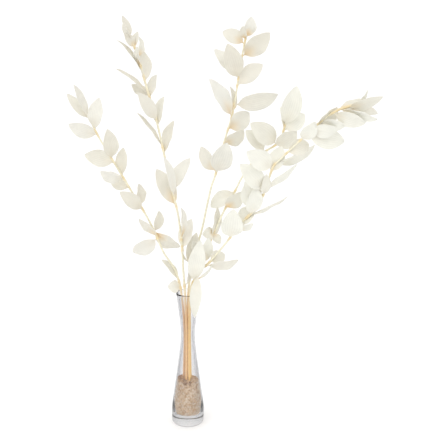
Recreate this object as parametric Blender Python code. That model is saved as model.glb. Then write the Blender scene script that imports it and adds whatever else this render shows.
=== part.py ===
"""Preserved ruscus branches in a waisted glass bud vase.

Five leafy stems stand in plain holes in a fill of fine granules, and lean on the inside of the vase.
Metres, +Z up. The origin is the centre of the vase's foot, and the front of the bunch looks along -Y.
The tables of stems and leaves are in millimetres: x to the right, y to the back, z up.
"""

import math
import random
from typing import NamedTuple

import bmesh
import bpy
from mathutils import Matrix, Vector

MM = 0.001
CLEARANCE = 0.3 * MM

# The vase, turned about Z. Its wall is a hyperbola on both sides of the waist, upright at the heel,
# and thickens from the bowl to the neck and to the heavy base.
VASE_HEIGHT = 200 * MM
VASE_WAIST_HEIGHT = 137 * MM
VASE_WAIST_RADIUS = 10 * MM
VASE_WAIST_ROUNDING = 15 * MM
VASE_FLARE = 0.135
VASE_HEEL_RADIUS = 23.4 * MM
VASE_WALL = 1.3 * MM
VASE_NECK_WALL = 2.3 * MM
VASE_NECK_SWELL = (70 * MM, 130 * MM)
VASE_BASE_WALL = 3.4 * MM
VASE_BASE_SWELL = (38 * MM, 14 * MM)
VASE_FLOOR = 16 * MM
VASE_FOOT_ROUNDING = 4 * MM
VASE_FLOOR_ROUNDING = 3 * MM
VASE_SIDES = 32
VASE_WALL_STEPS = 16
VASE_ARC_STEPS = 3

# The fill, which lies against the glass and is level with a slight mound at the left.
FILL_TOP = 66 * MM
FILL_CLEARANCE = 0.6 * MM
FILL_MOUND = 5 * MM
FILL_MOUND_CENTRE = Vector((-7, 2)) * MM
FILL_MOUND_RADIUS = 8 * MM
FILL_SIDES = 32
FILL_STEPS = 9
FILL_TOP_RINGS = 4
FILL_RELIEF = 1.1 * MM
FILL_SEED = 7

# The stems are cut square at the foot and thin towards the tip.
STEM_FOOT_RADIUS = 1.65 * MM
STEM_TIP_RADIUS = 1.15 * MM
STEM_STEPS_PER_SPAN = 2
HOLE_CLEARANCE = 0.5 * MM
HOLE_ABOVE_FILL = 10 * MM

# The leaves. A blade's outline, thickness and fold are the same for all, its size and set are not.
LEAF_STATIONS = (0.0, 0.12, 0.28, 0.48, 0.70, 0.88, 1.0)
LEAF_STALK_SHARE = 0.10
LEAF_STALK_HALF_WIDTH = 0.65 * MM
LEAF_STALK_THICKNESS = 1.0 * MM
LEAF_TIP_HALF_WIDTH = 0.35 * MM
LEAF_THICKNESS = 0.7 * MM
LEAF_FOLD = 0.22

GLASS = ("clear_glass", (0.92, 0.94, 0.94), 0.03, 1.0)
GRANULES = ("tan_granules", (0.46, 0.33, 0.22), 0.85, 0.0)
FOLIAGE = ("bleached_ruscus", (0.82, 0.77, 0.64), 0.6, 0.0)


class Leaf(NamedTuple):
    """One leaf: the height on its stem, the way to its tip, its width, its turn and its arch."""

    at: float
    right: float
    back: float
    up: float
    width: float
    turn: float
    arch: float


class Branch(NamedTuple):
    """One leafy stem: the points that it passes, foot first, and its leaves, tip first."""

    route: tuple
    leaves: tuple


BRANCHES = {
    "branch_far_left": Branch(
        route=(
            (-6.2, 2.6, 30),
            (-6.0, 2.0, 64),
            (-4.9, 0.8, 137),
            (-9.6, 2.5, 200),
            (-19, 7, 232),
            (-34, 11, 255),
            (-43, 14, 276),
            (-57, 18, 305),
            (-83, 25, 348),
            (-110, 34, 392),
            (-125, 41, 416),
            (-139, 47, 443),
        ),
        leaves=(
            Leaf(441, -18, -8, 48, 15, 55, -1),
            Leaf(439, -32, 10, 35, 16, 30, -3),
            Leaf(424, 6, 6, 45, 22, -18, 4),
            Leaf(418, -39, -12, 17, 22, -8, 3),
            Leaf(386, -4, -12, 44, 22, 18, 5),
            Leaf(380, -43, 10, 10, 24, 8, -3),
            Leaf(362, 1, 14, 38, 20, -30, 3),
            Leaf(359, -32, -10, 12, 21, -25, 4),
            Leaf(346, -29, 12, 11, 20, 30, -4),
            Leaf(316, -31, -10, 28, 20, 15, 5),
            Leaf(321, -2, 12, 30, 17, 45, 3),
            Leaf(277, -25, -12, 29, 19, -42, -3),
            Leaf(285, 7, 10, 28, 17, 38, 3),
            Leaf(276, -36, 12, -26, 26, -20, 4),
            Leaf(286, 36, 12, -27, 26, 32, 4),
            Leaf(216, -24, 8, 29, 15, 62, 3),
            Leaf(206, -18, -6, 4, 18, 30, 2),
        ),
    ),
    "branch_left": Branch(
        route=(
            (-2.4, -4.8, 30),
            (-2.2, -4.2, 64),
            (-2.0, -2.8, 137),
            (-4.2, -3.4, 200),
            (-6.5, -3, 234),
            (-7.8, -4, 264),
            (-10, -6, 286),
            (-14, -10, 319),
            (-24, -15, 363),
            (-31, -20, 399),
            (-43, -27, 457),
            (-51, -31, 484),
            (-64, -37, 532),
            (-73, -40, 559),
        ),
        leaves=(
            Leaf(557, -11, 4, 27, 12, 45, 0),
            Leaf(554, -10, -6, 22, 11, -50, 2),
            Leaf(545, -12, -5, 16, 14, 40, 2),
            Leaf(544, 4, 6, 20, 12, -38, 2),
            Leaf(531, 2, 8, 27, 12, 55, 3),
            Leaf(509, -31, -8, 46, 12, 76, 3),
            Leaf(521, -4, -9, 25, 12, -45, 3),
            Leaf(499, -5, 10, 42, 17, 30, 4),
            Leaf(486, -40, -10, 33, 13, 76, 1),
            Leaf(479, 8, 10, 30, 15, -38, 3),
            Leaf(482, -23, 8, 14, 16, 38, -3),
            Leaf(449, -23, -10, 38, 19, 28, 5),
            Leaf(440, 7, 10, 40, 17, -42, 4),
            Leaf(412, -33, -8, 48, 13, 76, 3),
            Leaf(402, 12, 12, 45, 17, -42, 4),
            Leaf(350, 24, 12, 44, 21, -34, 4),
            Leaf(343, -12, -16, 58, 15, 45, 5),
            Leaf(328, -27, 10, 51, 24, 25, 5),
            Leaf(280, 1, -10, 48, 16, 62, 3),
            Leaf(265, 13, 10, 41, 22, -30, 4),
            Leaf(269, 11, 0, -24, 12, 72, 3),
            Leaf(211, 5, -9, 23, 12, 62, 3),
        ),
    ),
    "branch_middle": Branch(
        route=(
            (-1.6, 4.4, 30),
            (-1.5, 4.0, 64),
            (-1.2, 2.8, 137),
            (0.8, 6.2, 200),
            (5, 8, 227),
            (14, 12, 268),
            (20.5, 17, 291),
            (31.8, 27, 343),
            (39.2, 32, 365),
            (53, 44, 415),
            (61, 50, 441),
            (67, 58, 471),
            (70, 63, 490),
            (75, 70, 520),
            (81, 77, 550),
        ),
        leaves=(
            Leaf(549, 8, 4, 29, 19, 22, 3),
            Leaf(547, -4, -8, 19, 13, -42, 2),
            Leaf(541, -31, 8, 17, 21, 20, 4),
            Leaf(524, 38, -8, 33, 27, 8, 3),
            Leaf(497, -34, 12, 36, 23, 35, 4),
            Leaf(493, -16, -12, 50, 27, 8, 4),
            Leaf(484, 36, 10, 30, 24, -22, 3),
            Leaf(442, -32, -12, 54, 24, 36, 6),
            Leaf(447, -2, 12, 37, 15, 55, 3),
            Leaf(458, 61, -10, 15, 28, 20, 3),
            Leaf(425, 30, 12, 22, 28, 12, 4),
            Leaf(406, 28, -4, 19, 25, 30, 3),
            Leaf(366, 15, -12, 45, 30, 6, 5),
            Leaf(367, -21, 12, 34, 22, -26, 4),
            Leaf(262, -6, -14, 14, 15, 20, 3),
            Leaf(232, 6, 7, 52, 20, -20, 4),
        ),
    ),
    "branch_right": Branch(
        route=(
            (4.2, 3.0, 30),
            (4.0, 2.6, 64),
            (2.9, 1.6, 137),
            (4.2, 1.8, 200),
            (17, 5, 233),
            (32, 10, 274),
            (53, 17, 320),
            (66, 20, 343),
            (75, 22, 361),
            (90, 25, 383),
            (107, 28, 397),
            (119, 30, 404),
            (128, 31, 412),
            (134, 34, 431),
            (136, 35, 441),
        ),
        leaves=(
            Leaf(432, 14, -8, 56, 29, 10, 5),
            Leaf(425, 30, 10, 22, 26, -18, 3),
            Leaf(427, -5, 10, 30, 14, 55, 3),
            Leaf(407, -38, -10, 31, 29, 16, 4),
            Leaf(405, 30, -8, 21, 26, 15, 3),
            Leaf(397, -27, 4, 29, 23, 28, 3),
            Leaf(343, -34, 10, -26, 22, 30, 5),
            Leaf(319, 21, -10, 26, 24, 20, 3),
            Leaf(275, 8, 10, 45, 18, 50, 4),
            Leaf(284, -16, -10, 1, 18, 20, 3),
            Leaf(241, 9, -16, 43, 20, 22, 4),
            Leaf(284, 9, -8, -13, 12, -10, 2),
        ),
    ),
    "branch_far_right": Branch(
        route=(
            (2.2, -5.6, 52),
            (2.1, -5.0, 70),
            (1.6, -2.6, 137),
            (2.8, -4.6, 200),
            (9, -7, 221),
            (17, -9, 236),
            (27, -11, 245),
            (40, -15, 262),
            (54, -19, 281),
            (71, -25, 307),
            (93, -31, 333),
            (103, -35, 357),
            (112, -40, 389),
            (121, -42, 400),
            (146, -46, 426),
            (172, -50, 452),
            (191, -53, 466),
            (206, -55, 472),
            (220, -56, 477),
        ),
        leaves=(
            Leaf(476, 13, 4, 17, 8, 50, 1.5),
            Leaf(471, 44, -6, 14, 18, 30, 3),
            Leaf(470, 46, 8, -8, 17, -42, 3),
            Leaf(468, 47, -8, -12, 19, 40, 3),
            Leaf(466, 40, 10, 12, 14, -48, 3),
            Leaf(463, 41, -10, -12, 21, 22, 4),
            Leaf(445, 30, 8, 23, 25, 35, 3),
            Leaf(439, 34, -10, 5, 21, 20, 4),
            Leaf(434, 51, 6, -10, 27, -12, 5),
            Leaf(427, 17, -10, 25, 22, 18, 4),
            Leaf(409, 30, 10, 10, 22, -20, 4),
            Leaf(393, 54, 8, 24, 19, 38, 4),
            Leaf(387, -35, -10, 25, 27, 12, 4),
            Leaf(358, -35, -8, 36, 26, 20, 4),
            Leaf(350, -25, 6, 17, 23, -24, 4),
            Leaf(357, 41, -8, 36, 19, 48, -2),
            Leaf(317, 57, 8, 26, 21, 66, -1),
            Leaf(301, 22, -6, 8, 17, 42, 2),
            Leaf(286, 4, -12, 44, 30, 0, 5),
            Leaf(303, 24, 8, 28, 22, -34, 4),
            Leaf(321, 7, -12, 42, 23, 18, 4),
            Leaf(244, 44, -8, 10, 21, 35, 4),
            Leaf(249, 21, 8, 9, 20, -28, 4),
            Leaf(217, 10, -6, 64, 24, 5, 5),
            Leaf(232, -5, -14, -61, 16, 0, 9),
            Leaf(381, 15, 8, 34, 22, -15, 4),
            Leaf(451, 32, -8, -3, 17, 18, 4),
            Leaf(331, -16, 8, 29, 23, -18, 4),
            Leaf(297, 9, 10, 21, 14, -30, 3),
            Leaf(219, 26, -10, 27, 11, 55, 2),
            Leaf(350, 3, -6, 30, 14, 20, 3),
        ),
    ),
}


def clear_scene():
    """Removes whatever the startup file holds."""
    for thing in list(bpy.data.objects):
        bpy.data.objects.remove(thing, do_unlink=True)


def make_material(name, colour, roughness, transmission):
    """A plain Principled material in the part's own colour."""
    material = bpy.data.materials.new(name)
    material.use_nodes = True
    shader = material.node_tree.nodes["Principled BSDF"]
    shader.inputs["Base Color"].default_value = (*colour, 1)
    shader.inputs["Roughness"].default_value = roughness
    shader.inputs["Metallic"].default_value = 0
    shader.inputs["Transmission Weight"].default_value = transmission
    return material


def add_object(name, bm, material=None):
    """A named object from a bmesh, shaded smooth except over sharp edges."""
    mesh = bpy.data.meshes.new(name)
    bm.to_mesh(mesh)
    bm.free()
    mesh.shade_smooth()
    mesh.set_sharp_from_angle(angle=math.radians(40))
    thing = bpy.data.objects.new(name, mesh)
    bpy.context.collection.objects.link(thing)
    if material:
        mesh.materials.append(material)
    return thing


def apply_modifiers(thing):
    """Keeps what the object's modifiers make, as its mesh."""
    graph = bpy.context.evaluated_depsgraph_get()
    mesh = bpy.data.meshes.new_from_object(thing.evaluated_get(graph))
    thing.modifiers.clear()
    thing.data = mesh


def keep_outer_skin(thing):
    """Fills the small hollows that crossing leaves seal, by removing every skin but the largest."""
    bm = bmesh.new()
    bm.from_mesh(thing.data)
    bmesh.ops.remove_doubles(bm, verts=bm.verts, dist=0.001 * MM)
    waiting = set(bm.verts)
    skins = []
    while waiting:
        skin = set()
        front = [waiting.pop()]
        while front:
            corner = front.pop()
            skin.add(corner)
            near = {edge.other_vert(corner) for edge in corner.link_edges} & waiting
            waiting -= near
            front += near
        skins.append(skin)
    skins.sort(key=len)
    for skin in skins[:-1]:
        bmesh.ops.delete(bm, geom=list(skin), context="VERTS")
    bm.to_mesh(thing.data)
    bm.free()


def vase_radius(height):
    """The outer radius of the vase's wall at a height, above the rounded foot."""
    away = math.hypot(height - VASE_WAIST_HEIGHT, VASE_WAIST_ROUNDING) - VASE_WAIST_ROUNDING
    return min(VASE_WAIST_RADIUS + VASE_FLARE * away, VASE_HEEL_RADIUS)


def eased_share(height, start, end):
    """How far a height has come from start to end, from 0 to 1, eased at both ends."""
    share = min(max((height - start) / (end - start), 0), 1)
    return share * share * (3 - 2 * share)


def inner_radius(height):
    """The inner radius of the vase at a height, above its rounded floor."""
    neck = (VASE_NECK_WALL - VASE_WALL) * eased_share(height, *VASE_NECK_SWELL)
    base = (VASE_BASE_WALL - VASE_WALL) * eased_share(height, *VASE_BASE_SWELL)
    return vase_radius(height) - VASE_WALL - neck - base


def arc(centre, radius, start, end, steps):
    """Points (radius from the axis, height) along an arc, with both ends."""
    points = []
    for step in range(steps + 1):
        angle = math.radians(start + (end - start) * step / steps)
        points.append((centre[0] + radius * math.cos(angle), centre[1] + radius * math.sin(angle)))
    return points


def wall_heights(low, high, steps):
    """Even heights from low to high, without the ends."""
    return [low + (high - low) * step / steps for step in range(1, steps)]


def vase_profile():
    """The vase's outline from the foot's centre, up the outside, over the rim and down the inside."""
    foot_edge = vase_radius(VASE_FOOT_ROUNDING) - VASE_FOOT_ROUNDING
    rim = VASE_NECK_WALL / 2
    rim_middle = vase_radius(VASE_HEIGHT) - rim
    floor_edge = inner_radius(VASE_FLOOR + VASE_FLOOR_ROUNDING) - VASE_FLOOR_ROUNDING
    points = [(0, 0)]
    points += arc((foot_edge, VASE_FOOT_ROUNDING), VASE_FOOT_ROUNDING, -90, 0, VASE_ARC_STEPS)
    heights = wall_heights(VASE_FOOT_ROUNDING, VASE_HEIGHT - rim, VASE_WALL_STEPS)
    points += [(vase_radius(height), height) for height in heights]
    points += arc((rim_middle, VASE_HEIGHT - rim), rim, 0, 180, VASE_ARC_STEPS)
    heights = wall_heights(VASE_HEIGHT - rim, VASE_FLOOR + VASE_FLOOR_ROUNDING, VASE_WALL_STEPS)
    points += [(inner_radius(height), height) for height in heights]
    corner = (floor_edge, VASE_FLOOR + VASE_FLOOR_ROUNDING)
    points += arc(corner, VASE_FLOOR_ROUNDING, 0, -90, VASE_ARC_STEPS)
    points.append((0, VASE_FLOOR))
    return points


def make_vase():
    """The glass vase: its profile spun once round."""
    bm = bmesh.new()
    outline = [bm.verts.new((radius, 0, height)) for radius, height in vase_profile()]
    edges = [bm.edges.new(pair) for pair in zip(outline, outline[1:])]
    bmesh.ops.spin(
        bm,
        geom=outline + edges,
        cent=(0, 0, 0),
        axis=(0, 0, 1),
        angle=math.tau,
        steps=VASE_SIDES,
        use_merge=True,
    )
    bmesh.ops.remove_doubles(bm, verts=bm.verts, dist=0.01 * MM)
    bmesh.ops.recalc_face_normals(bm, faces=bm.faces)
    return add_object("vase", bm, make_material(*GLASS))


def fill_rings():
    """The fill's rings as (radius, height), from its bottom to the middle of its top."""
    corner = VASE_FLOOR_ROUNDING - FILL_CLEARANCE
    middle = VASE_FLOOR + VASE_FLOOR_ROUNDING
    edge = inner_radius(middle) - VASE_FLOOR_ROUNDING
    rings = arc((edge, middle), corner, -90, 0, VASE_ARC_STEPS)
    for height in wall_heights(middle, FILL_TOP, FILL_STEPS) + [FILL_TOP]:
        rings.append((inner_radius(height) - FILL_CLEARANCE, height))
    widest = rings[-1][0]
    for ring in range(1, FILL_TOP_RINGS):
        rings.append((widest * (1 - ring / FILL_TOP_RINGS), FILL_TOP))
    return rings


def mound_height(x, y):
    """How far the fill's top stands above its level at a place."""
    away = (Vector((x, y)) - FILL_MOUND_CENTRE).length / FILL_MOUND_RADIUS
    return FILL_MOUND * math.exp(-away * away)


def make_granules(cutters):
    """The fill: a turned body whose skin is roughened into lumps, with a hole for each stem."""
    draw = random.Random(FILL_SEED)
    rings = fill_rings()
    first_top = len(rings) - FILL_TOP_RINGS
    bm = bmesh.new()
    loops = []
    for index, (radius, height) in enumerate(rings):
        loop = []
        for side in range(FILL_SIDES):
            angle = math.tau * (side + index % 2 / 2) / FILL_SIDES
            inward = draw.random() * FILL_RELIEF
            x = (radius - inward) * math.cos(angle)
            y = (radius - inward) * math.sin(angle)
            lift = mound_height(x, y) + inward if index >= first_top else inward
            loop.append(bm.verts.new((x, y, height + lift)))
        loops.append(loop)
    for low, high in zip(loops, loops[1:]):
        bridge(bm, low, high)
    bottom = bm.verts.new((0, 0, VASE_FLOOR + FILL_CLEARANCE))
    top = bm.verts.new((0, 0, FILL_TOP + mound_height(0, 0)))
    for side in range(FILL_SIDES):
        following = (side + 1) % FILL_SIDES
        bm.faces.new((bottom, loops[0][following], loops[0][side]))
        bm.faces.new((top, loops[-1][side], loops[-1][following]))
    bmesh.ops.recalc_face_normals(bm, faces=bm.faces)
    fill = add_object("granules", bm, make_material(*GRANULES))
    for cutter in cutters:
        hole = fill.modifiers.new(cutter.name, "BOOLEAN")
        hole.operation = "DIFFERENCE"
        hole.solver = "EXACT"
        hole.object = cutter
    apply_modifiers(fill)
    for cutter in cutters:
        bpy.data.objects.remove(cutter, do_unlink=True)
    return fill


def bridge(bm, low, high):
    """Triangles between two closed loops of as many points."""
    count = len(low)
    for side in range(count):
        following = (side + 1) % count
        bm.faces.new((low[side], low[following], high[side]))
        bm.faces.new((low[following], high[following], high[side]))


def stem_points(route):
    """Points on the smooth curve through a route, in metres, a few to each span."""
    knots = [Vector(point) * MM for point in route]
    ends = [knots[0] * 2 - knots[1], *knots, knots[-1] * 2 - knots[-2]]
    points = []
    for before, start, end, after in zip(ends, ends[1:], ends[2:], ends[3:]):
        for step in range(STEM_STEPS_PER_SPAN):
            share = step / STEM_STEPS_PER_SPAN
            points.append(curve_between(before, start, end, after, share))
    points.append(knots[-1])
    return points


def curve_between(before, start, end, after, share):
    """A point between start and end on the Catmull-Rom curve that also passes before and after."""
    slope = (end - before) / 2
    next_slope = (after - start) / 2
    rise = end - start
    bend = rise * 3 - slope * 2 - next_slope
    turn = slope + next_slope - rise * 2
    return start + slope * share + bend * share**2 + turn * share**3


def stem_radii(points):
    """The stem's radius at each of its points, thinner towards the tip."""
    foot, tip = points[0].z, points[-1].z
    shares = [(point.z - foot) / (tip - foot) for point in points]
    return [STEM_FOOT_RADIUS + (STEM_TIP_RADIUS - STEM_FOOT_RADIUS) * share for share in shares]


def point_at(points, height):
    """The place on a stem at a height."""
    for start, end in zip(points, points[1:]):
        if height <= end.z:
            return start.lerp(end, (height - start.z) / (end.z - start.z))
    return points[-1]


def make_tube(name, points, radii):
    """A bevelled curve made a mesh: six sides, a radius of its own at each point, and flat ends."""
    curve = bpy.data.curves.new(name, "CURVE")
    curve.dimensions = "3D"
    curve.bevel_depth = 1
    curve.bevel_resolution = 1
    curve.use_fill_caps = True
    spline = curve.splines.new("POLY")
    spline.points.add(len(points) - 1)
    for knot, point, radius in zip(spline.points, points, radii):
        knot.co = (*point, 1)
        knot.radius = radius
    guide = bpy.data.objects.new(name + "_curve", curve)
    bpy.context.collection.objects.link(guide)
    graph = bpy.context.evaluated_depsgraph_get()
    bm = bmesh.new()
    bm.from_mesh(guide.evaluated_get(graph).to_mesh())
    bpy.data.objects.remove(guide, do_unlink=True)
    bmesh.ops.remove_doubles(bm, verts=bm.verts, dist=0.01 * MM)
    bmesh.ops.recalc_face_normals(bm, faces=bm.faces)
    return add_object(name, bm)


def make_hole_cutter(name, points):
    """What a stem takes out of the fill: its foot, wider all round and a little deeper."""
    inside = [point for point in points if point.z < FILL_TOP + HOLE_ABOVE_FILL]
    radii = [radius + HOLE_CLEARANCE for radius in stem_radii(points)[: len(inside) + 1]]
    inside.append(points[len(inside)])
    inside[0] = inside[0] + (inside[0] - inside[1]).normalized() * CLEARANCE
    cutter = make_tube(name + "_hole", inside, radii)
    cutter.hide_render = True
    cutter.display_type = "WIRE"
    return cutter


def leaf_half_width(share, width):
    """Half a leaf's width at a share of its length: a thin stalk, then an egg shape with a point."""
    if share <= LEAF_STALK_SHARE:
        return LEAF_STALK_HALF_WIDTH
    along = (share - LEAF_STALK_SHARE) / (1 - LEAF_STALK_SHARE)
    outline = max(math.sin(math.pi * along**0.85), 0) ** 0.75
    least = LEAF_STALK_HALF_WIDTH if along < 0.5 else LEAF_TIP_HALF_WIDTH
    return max(width / 2 * outline, least)


def make_leaf(name, root, leaf):
    """One leaf as a closed blade, folded along its midrib and arched from stalk to tip."""
    chord = Vector((leaf.right, leaf.back, leaf.up)) * MM
    length = chord.length
    along = chord / length
    front = Vector((0, -1, 0))
    face = (front - along * front.dot(along)).normalized()
    face = Matrix.Rotation(math.radians(leaf.turn), 3, along) @ face
    across = along.cross(face)
    bm = bmesh.new()
    sections = []
    for share in LEAF_STATIONS:
        middle = root + chord * share + face * (leaf.arch * MM * 4 * share * (1 - share))
        slope = leaf.arch * MM * 4 * (1 - 2 * share)
        out = (face * length - along * slope).normalized()
        half = leaf_half_width(share, leaf.width * MM)
        thick = LEAF_STALK_THICKNESS if share <= LEAF_STALK_SHARE else LEAF_THICKNESS
        edge = out * (half * LEAF_FOLD)
        upper = out * (thick / 2)
        spine = (middle - across * half + edge, middle, middle + across * half + edge)
        section = [bm.verts.new(point + upper) for point in spine]
        section += [bm.verts.new(point - upper) for point in reversed(spine)]
        sections.append(section)
    for low, high in zip(sections, sections[1:]):
        skin_section(bm, low, high)
    for section in (sections[0], sections[-1]):
        left, crest, right, under_right, keel, under_left = section
        for corners in ((left, crest, keel), (left, keel, under_left)):
            bm.faces.new(corners)
        for corners in ((crest, right, under_right), (crest, under_right, keel)):
            bm.faces.new(corners)
    bmesh.ops.recalc_face_normals(bm, faces=bm.faces)
    return add_object(name, bm)


def skin_section(bm, low, high):
    """Triangles between two of a leaf's sections, split alike on its upper and its lower face."""
    pairs = ((0, 1), (2, 1), (2, 3), (3, 4), (5, 4), (5, 0))
    for first, second in pairs:
        bm.faces.new((low[first], low[second], high[first]))
        bm.faces.new((low[second], high[second], high[first]))


def make_branch(name, branch, material):
    """A leafy stem: its leaves, each rooted in the stem's core, joined to it by one Boolean union."""
    points = stem_points(branch.route)
    stem = make_tube(name, points, stem_radii(points))
    leaves = bpy.data.collections.new(name + "_leaves")
    bpy.context.scene.collection.children.link(leaves)
    for index, leaf in enumerate(branch.leaves):
        root = point_at(points, leaf.at * MM)
        blade = make_leaf(f"{name}_leaf_{index}", root, leaf)
        bpy.context.collection.objects.unlink(blade)
        leaves.objects.link(blade)
    union = stem.modifiers.new("leaves", "BOOLEAN")
    union.operation = "UNION"
    union.solver = "EXACT"
    union.operand_type = "COLLECTION"
    union.collection = leaves
    apply_modifiers(stem)
    keep_outer_skin(stem)
    for blade in list(leaves.objects):
        bpy.data.objects.remove(blade, do_unlink=True)
    bpy.data.collections.remove(leaves)
    stem.data.materials.clear()
    stem.data.materials.append(material)
    return stem


def main():
    clear_scene()
    make_vase()
    foliage = make_material(*FOLIAGE)
    cutters = []
    for name, branch in BRANCHES.items():
        cutters.append(make_hole_cutter(name, stem_points(branch.route)))
        make_branch(name, branch, foliage)
    make_granules(cutters)


main()
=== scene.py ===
"""Preserved ruscus stems in a waisted glass bud vase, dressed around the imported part.

Metres, +Z up. The origin is the centre of the vase's foot, and the front of the bunch looks along -Y.
The tables of stems and leaves are in millimetres: x to the right, y to the back, z up.
"""

import logging
import math
import random
from collections.abc import Callable, Iterable, Sequence
from dataclasses import dataclass, field
from enum import Enum
from typing import Any

import bmesh
import bpy
from mathutils import Matrix, Vector


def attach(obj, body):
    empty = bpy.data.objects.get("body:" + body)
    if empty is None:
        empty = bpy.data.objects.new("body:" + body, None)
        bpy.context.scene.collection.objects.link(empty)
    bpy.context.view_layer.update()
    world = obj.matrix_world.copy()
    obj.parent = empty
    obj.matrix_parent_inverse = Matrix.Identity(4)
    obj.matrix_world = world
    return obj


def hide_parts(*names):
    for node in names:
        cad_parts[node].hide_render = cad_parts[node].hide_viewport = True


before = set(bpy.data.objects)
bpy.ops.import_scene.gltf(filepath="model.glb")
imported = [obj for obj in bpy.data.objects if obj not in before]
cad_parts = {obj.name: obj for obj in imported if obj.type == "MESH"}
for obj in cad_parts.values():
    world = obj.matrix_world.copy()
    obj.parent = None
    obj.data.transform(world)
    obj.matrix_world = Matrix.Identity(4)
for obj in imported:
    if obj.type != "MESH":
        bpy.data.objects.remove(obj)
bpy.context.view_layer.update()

MM = 0.001
SHARP_ANGLE = 50.0
log = logging.getLogger("ruscus")


class Tone(Enum):
    """How the leaves of a stem came out of the bleach, as a place on the leaf's colour scale."""

    IVORY = 0.50
    BLUSH = 0.62
    CHALK = 0.85


@dataclass(frozen=True)
class Leaf:
    """One leaf: the height on its stem, the way to its tip, its width, turn, arch and tan stain."""

    at: float
    right: float
    back: float
    up: float
    width: float
    turn: float
    arch: float
    stain: float = 0.1


@dataclass(frozen=True)
class StemPlan:
    """One leafy stem: its tone, how yellow its foot is, the points that it passes, and its leaves."""

    tone: Tone
    warmth: float
    route: tuple[tuple[float, float, float], ...]
    leaves: tuple[Leaf, ...]


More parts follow.
